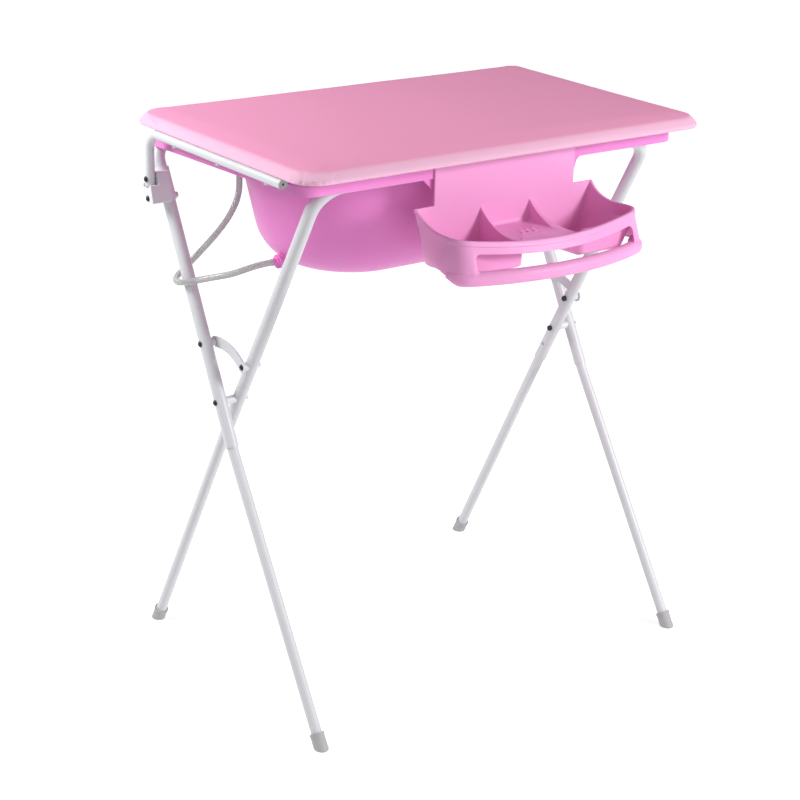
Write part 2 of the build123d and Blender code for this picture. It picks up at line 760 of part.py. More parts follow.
def bathtub():
    """The moulded tub with its hollow rim, tray stops and drain boss."""
    rim = Pos(0, rim_setback, lip_low) * extrude(
        RectangleRounded(rim_length, rim_depth, rim_corner_radius), amount=lip_drop
    )
    top_edges = rim.edges().filter_by_position(Axis.Z, rim_top - slip_gap, rim_top + slip_gap)
    rim = fillet(top_edges, rim_edge_radius)
    under = Pos(0, rim_setback, lip_low - overrun) * extrude(
        RectangleRounded(rim_length - 2 * tub_wall, rim_depth - 2 * tub_wall, rim_corner_radius - tub_wall),
        amount=lip_drop - tub_wall + overrun,
    )
    rim = rim - under
    tub = rim + basin_solid(0)
    boss = rod_x(drain_boss_radius, -drain_boss_reach, -basin_straight / 2, rim_setback, drain_height)
    tub = tub + boss
    tub = tub - basin_solid(tub_wall)
    tub = tub - rod_x(
        spout_shank_radius + slip_gap,
        -drain_boss_reach - overrun,
        -basin_straight / 2 - basin_mouth_radius / 3,
        rim_setback,
        drain_height,
    )
    for side in (-1, 1):
        edge = panel_center_x + side * (panel_half_length + seat_gap)
        tip = edge + side * gusset_length
        stop = make_face(
            Polyline(
                (edge, rim_top - tub_wall),
                (tip, rim_top - tub_wall),
                (tip, lip_low),
                (edge, lip_low - gusset_drop),
                close=True,
            )
        )
        plane = Plane(origin=(0, rim_front + tub_wall, 0), x_dir=(1, 0, 0), z_dir=(0, -1, 0))
        tub = tub + extrude(plane * stop, amount=-tub_wall)
    add("bathtub", tub)
    flange = rod_x(
        spout_flange_radius,
        -drain_boss_reach - slip_gap,
        -drain_boss_reach - slip_gap - spout_flange_width,
        rim_setback,
        drain_height,
    )
    shank = rod_x(
        spout_shank_radius,
        -drain_boss_reach + drain_boss_radius * 2,
        -spout_tip_reach,
        rim_setback,
        drain_height,
    )
    spout = flange + shank - rod_x(
        spout_bore_radius, -drain_boss_reach + drain_boss_radius * 2, -spout_tip_reach, rim_setback, drain_height
    )
    add("drain_spout", spout)


# Accessory tray
def tray_outline(half_rear, half_front, side_reach, mid_reach, corner, inset, z):
    """Plan outline of the tray at one height, square behind and bowed in front."""
    back = rim_front - seat_gap - inset
    rear_left = tray_center_x - half_rear + inset
    rear_right = tray_center_x + half_rear - inset
    left = tray_center_x - half_front + inset
    right = tray_center_x + half_front - inset
    side = -side_reach + inset
    face = make_face(
        [
            Line((rear_left, back), (rear_right, back)),
            Line((rear_right, back), (right, side)),
            ThreePointArc((right, side), (tray_center_x, -mid_reach + inset), (left, side)),
            Line((left, side), (rear_left, back)),
        ]
    )
    front = face.vertices().sort_by(Axis.Y)[0:2]
    face = fillet(front, corner - inset)
    return Pos(0, 0, z) * face


def tray_base_outline(inset):
    """The tray's widest outline, which its rail and the foot of its cheeks follow."""
    return tray_outline(
        tray_rear_half_length,
        tray_bar_half_length,
        tray_side_base_reach,
        rail_reach + rail_depth / 2,
        tray_corner_base_radius,
        inset,
        tray_base,
    )


def tray_skin(inset):
    """The tray's outer form from its rail up to its rim, or the space inside it."""
    top = tray_outline(
        tray_top_half_length,
        tray_top_half_length,
        tray_side_top_reach,
        tray_front_top_reach,
        tray_corner_top_radius,
        inset,
        tray_back_top,
    )
    return loft([tray_base_outline(inset), top], ruled=True)


def across(outline, x_from, x_to):
    """A prism along X from a closed outline in Y and Z."""
    plane = Plane(origin=(x_from, 0, 0), x_dir=(0, 1, 0), z_dir=(1, 0, 0))
    return extrude(plane * make_face(outline), amount=x_to - x_from)


def deep(face, y_from, y_to):
    """A prism along Y from a face drawn in X and Z."""
    plane = Plane(origin=(0, y_to, 0), x_dir=(1, 0, 0), z_dir=(0, -1, 0))
    return extrude(plane * face, amount=y_to - y_from)


def tray_bin(low, high, floor, reach, inset):
    """A drafted box between two spans in X, front rounded, or the hollow inside it."""
    back = rim_front - seat_gap - inset if inset else rim_front + overrun
    slope = tan(radians(bin_draft)) * (tray_back_top - floor)

    def section(span, front, z):
        width = span[1] - span[0] - 2 * inset
        plan = Rectangle(width, back + front)
        plan = Pos((span[0] + span[1]) / 2, (back - front) / 2) * plan
        corners = plan.vertices().sort_by(Axis.Y)[0:2]
        return Pos(0, 0, z) * fillet(corners, bin_corner_radius - inset)

    foot = section(low, reach - inset, floor + inset)
    head = section(high, reach - inset + slope, tray_back_top + overrun)
    solid = loft([foot, head], ruled=True)
    rest = solid.edges().filter_by_position(Axis.Z, floor + inset - slip_gap, floor + inset + slip_gap)
    return fillet(rest, bin_bottom_radius)


def swept_rim(start_y, start_z, low, radius, far, left, right):
    """The cut above a rim that sweeps down from the back and then runs level."""
    drop = start_z - low
    level_y = start_y - (2 * radius * drop - drop**2) ** 0.5
    turn = atan2(start_y - level_y, radius - drop) / 2
    middle = (level_y + radius * sin(turn), low + radius - radius * cos(turn))
    high = tray_back_top + 2 * overrun
    back = rim_front + overrun
    outline = [
        Line((back, start_z), (start_y, start_z)),
        ThreePointArc((start_y, start_z), middle, (level_y, low)),
        Line((level_y, low), (far, low)),
        Line((far, low), (far, high)),
        Line((far, high), (back, high)),
        Line((back, high), (back, start_z)),
    ]
    return across(outline, left, right)


def accessory_tray():
    """One moulding: hook panel, three bins with a bowed front rim, and the towel rail."""
    far = rail_reach + rail_depth
    left = tray_center_x - tray_bar_half_length - overrun
    right = tray_center_x + tray_bar_half_length + overrun
    back = rim_front - seat_gap
    skin = tray_skin(0)
    space = tray_skin(tray_wall)

    shelf_low = apron_lower_end
    share = (shelf_low - bin_floor) / (tray_back_top + overrun - bin_floor)
    middle_span = (partition_left_x, partition_right_x + partition_wall)
    left_low = (bin_left_outer, partition_left_x + partition_wall)
    left_high = (tray_center_x - bin_top_half_length, partition_left_x + partition_wall)
    right_low = (bin_right_inner, bin_right_outer)
    right_high = (partition_right_x, tray_center_x + bin_top_half_length)
    right_shelf = (bin_right_inner + (partition_right_x - bin_right_inner) * share, right_high[1])
    wedge_length = bin_right_inner - partition_right_x
    wedge_high = tray_back_top + overrun - dish_floor

    outer = tray_bin(left_low, left_high, bin_floor, bin_front_reach, 0)
    outer = outer + tray_bin(right_low, right_high, bin_floor, bin_front_reach, 0)
    outer = outer + tray_bin(middle_span, middle_span, dish_floor, far, 0)
    wedge = Box(wedge_length, back + bin_front_reach, wedge_high)
    wedge_y = (back - bin_front_reach) / 2
    outer = outer + Pos(partition_right_x + wedge_length / 2, wedge_y, dish_floor + wedge_high / 2) * wedge
    shelf_middle = (back - far) / 2
    shelf = Pos(tray_center_x, shelf_middle, shelf_low + tray_wall / 2)
    outer = outer + shelf * Box(right - left, back + far, tray_wall)
    hollow = tray_bin(left_low, left_high, bin_floor, bin_front_reach, tray_wall)
    hollow = hollow + tray_bin(right_low, right_high, bin_floor, bin_front_reach, tray_wall)
    hollow = hollow + tray_bin(middle_span, middle_span, dish_floor, far, tray_wall)
    hollow = hollow + tray_bin(left_high, left_high, shelf_low, far, tray_wall)
    hollow = hollow + tray_bin(right_shelf, right_high, shelf_low, far, tray_wall)
    body = (skin - space) + (outer & skin) - (hollow & space)

    side_cut = swept_rim(back - tray_wall, tray_back_top, side_rim_low, side_rim_radius, -far, left, right)
    rim_left = tray_center_x - tray_top_half_length
    rim_right = tray_center_x + tray_top_half_length
    high = tray_back_top + overrun
    bowed = make_face(
        [
            Line((left, side_rim_low), (rim_left, side_rim_low)),
            ThreePointArc(
                (rim_left, side_rim_low), (tray_center_x, front_rim_mid), (rim_right, side_rim_low)
            ),
            Line((rim_right, side_rim_low), (right, side_rim_low)),
            Line((right, side_rim_low), (right, high)),
            Line((right, high), (left, high)),
            Line((left, high), (left, side_rim_low)),
        ]
    )
    rim_cut = side_cut + deep(bowed, -far, -rim_step_reach)
    lip_room = Pos(tray_center_x, back - far / 2, tray_back_top) * Box(right - left, far, tray_back_top)
    lip = (tray_skin(-rim_lip) - space) & (Pos(0, 0, -rim_lip_height) * rim_cut) & lip_room
    body = body + lip - rim_cut
    partition_cut = swept_rim(
        back - tray_wall,
        partition_back_top,
        partition_low,
        partition_radius,
        -far,
        partition_left_x - tray_wall / 2,
        bin_right_inner,
    )
    body = body - (partition_cut & space)

    gap_left = tray_center_x - rail_gap_half_length
    gap_right = tray_center_x + rail_gap_half_length
    gap_low = tray_base + rail_height - rail_gap_sink
    opening = make_face(
        [
            Line((gap_left, gap_low), (gap_right, gap_low)),
            Line((gap_right, gap_low), (gap_right, apron_lower_end)),
            ThreePointArc(
                (gap_right, apron_lower_end), (tray_center_x, apron_lower_mid), (gap_left, apron_lower_end)
            ),
            Line((gap_left, apron_lower_end), (gap_left, gap_low)),
        ]
    )
    opening = fillet(opening.vertices(), rail_gap_corner)
    body = body - deep(opening, -far, -bin_front_reach - tray_wall / 2)

    under_rail = Box(right - left, 2 * (far - rail_end_reach), rail_height)
    body = body - Pos(tray_center_x, -far, tray_base) * under_rail
    guide = Wire(tray_base_outline(rail_depth / 2).edges().sort_by(Axis.Y)[0:5])
    guide = Pos(0, 0, rail_height / 2) * guide
    bar = RectangleRounded(rail_height, rail_depth, rail_depth / 2 - slip_gap)
    rail = sweep(Plane(guide @ 0, x_dir=(0, 0, 1), z_dir=guide % 0) * bar, path=guide)
    behind_rail = Pos(tray_center_x, -rail_end_reach + far / 2, tray_base) * Box(
        right - left, far, 3 * rail_height
    )
    body = body + (rail - behind_rail)
    cheek_points = list(zip([-reach for reach in cheek_reaches], cheek_heights))
    cheek_points.append((back + overrun, cheek_back_height))
    cheek_foot = [
        Spline(*cheek_points),
        Line(cheek_points[-1], (back + overrun, tray_base - 2 * overrun)),
        Line((back + overrun, tray_base - 2 * overrun), (-cheek_reaches[0], tray_base - 2 * overrun)),
        Line((-cheek_reaches[0], tray_base - 2 * overrun), cheek_points[0]),
    ]
    body = body - across(cheek_foot, left, bin_left_outer) - across(cheek_foot, bin_right_outer, right)

    panel_top = rim_top + seat_gap + tray_wall
    panel = Pos(panel_center_x, back - tray_wall / 2, (panel_bottom + panel_top) / 2) * Box(
        2 * panel_half_length, tray_wall, panel_top - panel_bottom
    )
    ridge = Pos(panel_center_x, back - tray_wall + hook_depth / 2, panel_top - tray_wall / 2) * Box(
        2 * panel_half_length, hook_depth, tray_wall
    )
    body = body + panel + ridge

    middle_x = (partition_left_x + partition_right_x + partition_wall) / 2
    middle_y = (back - bin_front_reach) / 2
    for row in range(dish_bump_rows):
        for column in range(dish_bump_columns):
            x = middle_x + (column - 1 + row / 2) * dish_bump_pitch
            y = middle_y + (row - 1 / 2) * dish_bump_pitch
            z = dish_floor + tray_wall - dish_bump_radius / 3
            body = body + Pos(x, y, z) * Sphere(dish_bump_radius)
    body = max(body.solids(), key=lambda s: s.volume)
    add("accessory_tray", body)


# Drain hose
def drain_hose():
    """The clear hose along its route and the clip that holds its open end."""
    radii = []
    for before, here, after in zip(hose_route, hose_route[1:], hose_route[2:]):
        incoming = Vector(*here) - Vector(*before)
        outgoing = Vector(*after) - Vector(*here)
        turn = incoming.get_angle(outgoing)
        run = min(incoming.length, outgoing.length)
        radii.append(hose_radius_share * run / tan(radians(turn) / 2))
    print("hose bend radii", [round(r) for r in radii])
    path = FilletPolyline(*hose_route, radius=radii)
    hose = sweep(Plane(path @ 0, z_dir=path % 0) * Circle(hose_radius), path=path)
    print("hose length", path.length, "volume share", hose.volume / (path.length * Circle(hose_radius).area))
    add("drain_hose", hose)
    x, y, z = hose_route[-1]
    ceiling = rim_top - tub_wall - seat_gap
    ring = Pos(x, y, z - clip_height / 2) * Cylinder(hose_radius + slip_gap + clip_wall, clip_height)
    arm_top = ceiling
    stem = Pos(x - hose_radius - clip_wall, y, (z - clip_height + arm_top) / 2) * Box(
        2 * clip_wall, 2 * clip_wall, arm_top - z + clip_height
    )
    clip = ring + stem
    clip = clip - Pos(x, y, z) * Cylinder(hose_radius + slip_gap, 4 * clip_height)
    add("hose_clip", clip)


stand()
scissor_joint()
lock_link()
hinge_bracket()
changing_lid()
bathtub()
accessory_tray()
drain_hose()

boxes = [shape.bounding_box() for shape in parts.values()]
middle_x = (min(box.min.X for box in boxes) + max(box.max.X for box in boxes)) / 2
middle_y = (min(box.min.Y for box in boxes) + max(box.max.Y for box in boxes)) / 2
print("middle of the part", middle_x, middle_y, "top", max(box.max.Z for box in boxes))
for node, shape in parts.items():
    placed = [Pos(-middle_x, -middle_y, 0) * solid for solid in shape.solids()]
    export_step(Compound(placed) if len(placed) > 1 else placed[0], f"parts/{node}.step")
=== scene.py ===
import json
import math

import bpy
from mathutils import Matrix, Vector, noise


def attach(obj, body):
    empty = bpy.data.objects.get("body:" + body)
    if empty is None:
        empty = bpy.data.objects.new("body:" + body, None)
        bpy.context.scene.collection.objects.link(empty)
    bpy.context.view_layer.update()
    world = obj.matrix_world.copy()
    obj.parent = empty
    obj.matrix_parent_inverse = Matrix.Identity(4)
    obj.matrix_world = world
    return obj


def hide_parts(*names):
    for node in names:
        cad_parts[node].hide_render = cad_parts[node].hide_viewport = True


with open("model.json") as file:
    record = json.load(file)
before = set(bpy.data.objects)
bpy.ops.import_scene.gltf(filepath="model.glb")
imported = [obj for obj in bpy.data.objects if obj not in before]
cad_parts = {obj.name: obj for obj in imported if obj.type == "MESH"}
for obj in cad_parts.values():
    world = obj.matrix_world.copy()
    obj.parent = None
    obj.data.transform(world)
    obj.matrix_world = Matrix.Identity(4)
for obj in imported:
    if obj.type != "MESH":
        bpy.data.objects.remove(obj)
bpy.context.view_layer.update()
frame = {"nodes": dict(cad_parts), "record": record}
nodes = frame["nodes"]

# The camera, the top and the hose were measured from an origin that lies this far behind the
# part's own
SHIFT_Y = 0.06438377

# The camera, where the photograph was taken from: metres, radians and pixels
CAMERA_PLACE = (-2.0881, -2.6504 + SHIFT_Y, 1.6520)
CAMERA_YAW = 0.6641
CAMERA_PITCH = -0.3446
CAMERA_ROLL = 0.0243
FOCAL_PIXELS = 1987.16
PHOTO_WIDTH = 800
SENSOR = 36.0

# Changing top, metres, flat in its own plane before it is laid in place
LID_LENGTH = 0.854
LID_DEPTH = 0.5165
LID_CORNER = 0.045
CORNER_STEPS = 10
LID_FRONT_Y = -0.2874 + SHIFT_Y
LID_FRONT_Z = 0.945
LID_TILT = math.radians(1.38)
BOARD_THICKNESS = 0.006
SEAT_GAP = 0.0003
PAD_WRAP = 0.003
PAD_SLACK = 0.001
PAD_FOOT = 0.008
PAD_SLOPE_RUN = 0.0125
PAD_SLOPE_RISE = 0.0120
PAD_SHOULDER_RUN = 0.012
PAD_SHOULDER_RISE = 0.0025
PAD_VOXEL = 0.005
PAD_EASE_SHARE = 0.5
PAD_EASE_PASSES = 6
PAD_SMOOTH_ANGLE = math.radians(50)

# Air in the top: the cloth run, and how far it may move the edge and the middle
PAD_PRESSURE = 4.0
PAD_STEPS = 16
PAD_CLOTH_QUALITY = 4
PAD_EDGE_SWELL = 0.0016
PAD_CROWN_SWELL = 0.0062

# Pleats round each corner of the top: turn from the corner's middle in degrees, rise, strength
PLEATS = (
    (-38, 0.012, 0.7),
    (-13, 0.017, 1.0),
    (12, 0.009, 0.6),
    (30, 0.014, 0.8),
)
# Small folds of the hem: start and end from the front left corner of the flat top, strength
HEM_FOLDS = (
    ((0.054, 0.000, 0.000), (0.056, 0.006, 0.010), 1.0),
    ((0.061, 0.000, 0.000), (0.060, 0.008, 0.013), 0.8),
    ((0.105, 0.000, 0.000), (0.103, 0.005, 0.009), 0.7),
    ((0.310, 0.000, 0.000), (0.315, 0.003, 0.006), 0.4),
    ((0.002, LID_DEPTH - 0.078, 0.004), (0.006, LID_DEPTH - 0.048, 0.009), 0.7),
    ((0.000, 0.150, 0.000), (0.004, 0.146, 0.006), 0.5),
)
PLEAT_WIDTH = 0.0026
PLEAT_DEPTH = 0.0013
PLEAT_SLANT = 0.8
PLEAT_REACH = 4
PLEAT_LIP = 0.35
PLEAT_LIP_PLACE = 2
PLEAT_FADE = 0.6

# Waves of the vinyl, slow ones all over and short ones along the hem
FACE_WAVE = 0.0006
FACE_WAVE_SCALE = 5
HEM_WAVE = 0.0009
HEM_WAVE_SCALE = 32
HEM_WAVE_LAYER = 7
HEM_WAVE_TOP = 0.014
HEM_WAVE_FOOT = 0.002
HEM_RUN = 0.03
HEM_TOP = 0.024

# Painted sheen: how steep a side of the vinyl must be before it is painted paler, and how fast the
# painted sheen grows
PAINTED_SHEEN_START = 0.06
PAINTED_SHEEN_GAIN = 4.5

# Small hardware, the inner reach of the nuts along X and the socket of the arms' end plugs, whose
# dark disc is painted shade
NUT_REACHES = (
    ("bracket_bolts", 0.3768),
    ("scissor_bolts", 0.3456),
    ("lock_pivot_bolts", 0.3448),
    ("lock_catch_bolts", 0.3726),
)
PLUG_MIDDLE_X = 0.421
PLUG_MIDDLE_Z = 0.9385
PLUG_SOCKET_RADIUS = 0.0026
PLUG_SOCKET_DEPTH = 0.003

# Edges of the accessory tray
TRAY_MERGE_REACH = 0.00025
TRAY_FLAT_ANGLE = math.radians(0.6)
TRAY_EDGE_RADIUS = 0.0011
TRAY_EDGE_STEPS = 3
TRAY_EDGE_ANGLE = math.radians(38)
TRAY_SMOOTH_ANGLE = math.radians(35)

# Drain hose, metres, its route as measured
HOSE_DIAMETER = 0.011
HOSE_STEPS = 12
HOSE_RING_STEPS = 6
HOSE_ROUTE = [
    (-0.2962, -0.0070, 0.7460),
    (-0.3180, -0.0070, 0.7460),
    (-0.3460, -0.0055, 0.7420),
    (-0.3700, 0.0020, 0.7350),
    (-0.3890, 0.0260, 0.7270),
    (-0.4020, 0.0550, 0.7170),
    (-0.4110, 0.0880, 0.7060),
    (-0.4080, 0.1180, 0.6990),
    (-0.3940, 0.1360, 0.7040),
    (-0.3740, 0.1310, 0.7220),
    (-0.3520, 0.1170, 0.7500),
    (-0.3230, 0.1170, 0.7740),
    (-0.2950, 0.1230, 0.7970),
    (-0.2740, 0.1260, 0.8290),
    (-0.2650, 0.1380, 0.8660),
    (-0.2630, 0.1470, 0.8960),
    (-0.2630, 0.1470, 0.9220),
]

# Studio: the floor looks whiter away from the object, and the world shows more than it lights
FLOOR_SIZE = 30.0
FLOOR_COLOUR = (0.93, 0.93, 0.93, 1.0)
FLOOR_LIFT_FROM = 0.8
FLOOR_LIFT_TO = 2.4
FLOOR_LIFT_NEAR = 0.45
FLOOR_LIFT_FAR = 0.72
WORLD_LIGHT = 0.29
WORLD_SHOWN = 1.0
WHITE = (1, 1, 1, 1)
LAMP_AIM = Vector((0, 0, 0.7))
# Name, place, width and watts of each lamp
LAMPS = (
    ("back_left", (-1.6, 0.9, 1.95), 0.9, 40.0),
    ("front_right", (1.8, -2.8, 1.95), 0.8, 85.0),
    ("legs", (-0.8, -3.0, 1.0), 1.4, 9.0),
)


def put_camera():
    """The camera with the photograph's place, direction and lens."""
    heading = Vector(
        (
            math.cos(CAMERA_PITCH) * math.sin(CAMERA_YAW),
            math.cos(CAMERA_PITCH) * math.cos(CAMERA_YAW),
            math.sin(CAMERA_PITCH),
        )
    )
    level_right = heading.cross(Vector((0, 0, 1))).normalized()
    level_up = level_right.cross(heading)
    right = math.cos(CAMERA_ROLL) * level_right + math.sin(CAMERA_ROLL) * level_up
    up = -math.sin(CAMERA_ROLL) * level_right + math.cos(CAMERA_ROLL) * level_up
    data = bpy.data.cameras.new("camera")
    data.sensor_width = SENSOR
    data.lens = FOCAL_PIXELS * SENSOR / PHOTO_WIDTH
    data.dof.use_dof = False
    camera = bpy.data.objects.new("camera", data)
    bpy.context.scene.collection.objects.link(camera)
    turn = Matrix((right, up, -heading)).transposed().to_4x4()
    camera.matrix_world = Matrix.Translation(Vector(CAMERA_PLACE)) @ turn
    bpy.context.scene.camera = camera


def new_material(name):
    """A material with its node tree and its Principled shader, ready for links."""
    material = bpy.data.materials.new(name)
    material.use_nodes = True
    tree = material.node_tree
    return material, tree, tree.nodes["Principled BSDF"]


def group_value(tree, name, way, value=None):
    """One named input or output of a node group, a plain value."""
    socket = tree.interface.new_socket(name=name, in_out=way, socket_type="NodeSocketFloat")
    if value is not None:
        socket.default_value = value


def node(tree, kind, **values):
    """A node whose properties and named inputs are set in one call."""
    made = tree.nodes.new(kind)
    for key, value in values.items():
        if key in made.inputs:
            made.inputs[key].default_value = value
        else:
            setattr(made, key, value)
    return made


def moulding_skin_group():
    """Fine moulded grain, and slow flow marks that shift the tint and the gloss."""
    tree = bpy.data.node_groups.new("moulding_skin", "ShaderNodeTree")
    group_value(tree, "Grain Scale", "INPUT", value=900.0)
    group_value(tree, "Flow Scale", "INPUT", value=6.0)
    group_value(tree, "Grain", "OUTPUT")
    group_value(tree, "Flow", "OUTPUT")
    enter = node(tree, "NodeGroupInput")
    leave = node(tree, "NodeGroupOutput")
    place = node(tree, "ShaderNodeTexCoord")
    grain = node(tree, "ShaderNodeTexNoise", Detail=3.0, Roughness=0.6)
    flow = node(tree, "ShaderNodeTexNoise", Detail=2.0, Roughness=0.45, Distortion=0.6)
    tree.links.new(place.outputs["Object"], grain.inputs["Vector"])
    tree.links.new(place.outputs["Object"], flow.inputs["Vector"])
    tree.links.new(enter.outputs["Grain Scale"], grain.inputs["Scale"])
    tree.links.new(enter.outputs["Flow Scale"], flow.inputs["Scale"])
    tree.links.new(grain.outputs["Fac"], leave.inputs["Grain"])
    tree.links.new(flow.outputs["Fac"], leave.inputs["Flow"])
    return tree


def handling_group():
    """Faint rubbed patches and hairline scuffs that only change the gloss."""
    tree = bpy.data.node_groups.new("handling_marks", "ShaderNodeTree")
    group_value(tree, "Scale", "INPUT", value=14.0)
    group_value(tree, "Marks", "OUTPUT")
    enter = node(tree, "NodeGroupInput")
    leave = node(tree, "NodeGroupOutput")
    place = node(tree, "ShaderNodeTexCoord")
    drawn_out = node(tree, "ShaderNodeMapping", Scale=(1.0, 3.0, 0.35))
    scuffs = node(tree, "ShaderNodeTexNoise", Detail=6.0, Roughness=0.7)
    narrow = node(tree, "ShaderNodeMapRange")
    narrow.inputs["From Min"].default_value = 0.52
    narrow.inputs["From Max"].default_value = 0.72
    tree.links.new(place.outputs["Object"], drawn_out.inputs["Vector"])
    tree.links.new(drawn_out.outputs["Vector"], scuffs.inputs["Vector"])
    tree.links.new(enter.outputs["Scale"], scuffs.inputs["Scale"])
    tree.links.new(scuffs.outputs["Fac"], narrow.inputs["Value"])
    tree.links.new(narrow.outputs["Result"], leave.inputs["Marks"])
    return tree


SKIN = moulding_skin_group()
HANDLING = handling_group()


def use_group(tree, group, **values):
    """A group node with its own values."""
    made = tree.nodes.new("ShaderNodeGroup")
    made.node_tree = group
    for key, value in values.items():
        made.inputs[key.replace("_", " ")].default_value = value
    return made


def spread(tree, source, low, high):
    """Maps a value from nought to one onto the given range."""
    ranged = node(tree, "ShaderNodeMapRange")
    ranged.inputs["To Min"].default_value = low
    ranged.inputs["To Max"].default_value = high
    tree.links.new(source, ranged.inputs["Value"])
    return ranged.outputs["Result"]


def tinted(tree, source, first, second):
    """A colour that drifts between two close tints."""
    mix = node(tree, "ShaderNodeMix", data_type="RGBA")
    mix.inputs[6].default_value = (*first, 1.0)
    mix.inputs[7].default_value = (*second, 1.0)
    tree.links.new(source, mix.inputs[0])
    return mix.outputs[2]


def bumped(tree, shader, height, distance, strength):
    """Feeds a height into the shader's normal."""
    bump = node(tree, "ShaderNodeBump", Distance=distance, Strength=strength)
    tree.links.new(height, bump.inputs["Height"])
    tree.links.new(bump.outputs["Normal"], shader.inputs["Normal"])


def moulded(name, first, second, rough_low, rough_high, grain):
    """A solid moulded or painted finish with drift in tint and gloss, rubbed a little."""
    material, tree, shader = new_material(name)
    skin = use_group(tree, SKIN, Grain_Scale=grain)
    marks = use_group(tree, HANDLING)
    tint = tinted(tree, skin.outputs["Flow"], first, second)
    tree.links.new(tint, shader.inputs["Base Color"])
    base = spread(tree, skin.outputs["Flow"], rough_low, rough_high)
    rubbed = node(tree, "ShaderNodeMath", operation="MULTIPLY_ADD")
    rubbed.inputs[1].default_value = 0.06
    tree.links.new(marks.outputs["Marks"], rubbed.inputs[0])
    tree.links.new(base, rubbed.inputs[2])
    tree.links.new(rubbed.outputs["Value"], shader.inputs["Roughness"])
    bumped(tree, shader, skin.outputs["Grain"], 0.00008, 0.35)
    return material


def pink_moulding(name, first, second):
    """Bright pink polypropylene, satin, a little light passing through its thin walls."""
    material = moulded(name, first, second, 0.34, 0.46, 1100.0)
    shader = material.node_tree.nodes["Principled BSDF"]
    shader.inputs["Specular IOR Level"].default_value = 0.20
    shader.inputs["Subsurface Weight"].default_value = 0.12
    shader.inputs["Subsurface Radius"].default_value = (0.006, 0.002, 0.004)
    return material


def clear_tube():
    """Clear soft vinyl hose with a faint haze."""
    material, tree, shader = new_material("clear_hose")
    skin = use_group(tree, SKIN, Grain_Scale=300.0)
    gloss = spread(tree, skin.outputs["Flow"], 0.10, 0.18)
    tree.links.new(gloss, shader.inputs["Roughness"])
    haze = tinted(tree, skin.outputs["Flow"], (0.50, 0.50, 0.50), (0.60, 0.60, 0.60))
    tree.links.new(haze, shader.inputs["Base Color"])
    bumped(tree, shader, skin.outputs["Flow"], 0.0002, 0.1)
    shader.inputs["Transmission Weight"].default_value = 0.55
    shader.inputs["IOR"].default_value = 1.45
    return material


def metal(name, colour, rough_low, rough_high):
    """Plated or blackened metal of the small hardware."""
    material = moulded(name, colour, colour, rough_low, rough_high, 1400.0)
    material.node_tree.nodes["Principled BSDF"].inputs["Metallic"].default_value = 1.0
    return material


def vinyl():
    """Soft matt pink vinyl of the changing top, pebbled, with a painted sheen that makes its
    sloping sides paler.
    """
    material, tree, shader = new_material("pink_vinyl")
    skin = use_group(tree, SKIN, Grain_Scale=700.0, Flow_Scale=3.5)
    place = node(tree, "ShaderNodeTexCoord")
    pebble = node(tree, "ShaderNodeTexVoronoi", Scale=900.0)
    tree.links.new(place.outputs["Object"], pebble.inputs["Vector"])
    height = node(tree, "ShaderNodeMath", operation="MULTIPLY_ADD")
    height.inputs[1].default_value = 0.5
    tree.links.new(pebble.outputs["Distance"], height.inputs[0])
    tree.links.new(skin.outputs["Grain"], height.inputs[2])
    vinyl_tint = tinted(tree, skin.outputs["Flow"], (0.78, 0.315, 0.500), (0.83, 0.345, 0.530))
    # The sloping sides are painted a paler pink as a painted sheen, by their steepness
    painted_sheen_mask = node(tree, "ShaderNodeAttribute", attribute_name="painted_sheen")
    mix = node(tree, "ShaderNodeMix", data_type="RGBA")
    mix.inputs[7].default_value = (0.86, 0.50, 0.67, 1.0)
    tree.links.new(painted_sheen_mask.outputs["Fac"], mix.inputs[0])
    tree.links.new(vinyl_tint, mix.inputs[6])
    tree.links.new(mix.outputs[2], shader.inputs["Base Color"])
    gloss = spread(tree, skin.outputs["Flow"], 0.60, 0.70)
    tree.links.new(gloss, shader.inputs["Roughness"])
    bumped(tree, shader, height.outputs["Value"], 0.00010, 0.25)
    shader.inputs["Specular IOR Level"].default_value = 0.01
    return material


# One finish for each material slot of the part
FINISHES = {
    "white_paint": moulded(
        "white_paint", (0.61, 0.62, 0.645), (0.66, 0.67, 0.69), 0.30, 0.40, 620.0
    ),
    "white_plastic": moulded(
        "white_plastic", (0.70, 0.715, 0.735), (0.75, 0.76, 0.775), 0.36, 0.46, 1000.0
    ),
    "grey_cap": moulded(
        "grey_cap", (0.38, 0.38, 0.385), (0.43, 0.43, 0.435), 0.42, 0.55, 900.0
    ),
    "pink_plastic": pink_moulding("pink_plastic", (0.80, 0.240, 0.610), (0.84, 0.270, 0.640)),
    "pink_vinyl": vinyl(),
    "board": moulded("board", (0.72, 0.70, 0.68), (0.78, 0.76, 0.73), 0.45, 0.60, 400.0),
    "black_bolt": metal("black_bolt", (0.03, 0.03, 0.035), 0.32, 0.42),
    "steel": metal("steel", (0.36, 0.36, 0.37), 0.26, 0.36),
    "clear_hose": clear_tube(),
}
NUT_FINISH = moulded("pale_nut", (0.62, 0.63, 0.65), (0.66, 0.67, 0.69), 0.38, 0.50, 1200.0)
# Painted shade: the dark of each end plug's socket, painted on its faces
SOCKET_PAINTED_SHADE = moulded(
    "painted_socket_shade", (0.02, 0.02, 0.022), (0.03, 0.03, 0.032), 0.50, 0.60, 900.0
)
# Painted light: the tub's pink made paler for the tray, standing in for the light and sheen on its
# front
TRAY_PAINTED_LIGHT_FINISH = pink_moulding("tray_pink_painted_light", (0.85, 0.350, 0.655), (0.88, 0.380, 0.680))
# The tray is painted a paler pink than the tub as painted light and sheen on the same plastic, and
# the arm screws are painted with the arms
OTHER_FINISHES = {
    "accessory_tray": TRAY_PAINTED_LIGHT_FINISH,
    "arm_screws": FINISHES["white_paint"],
}


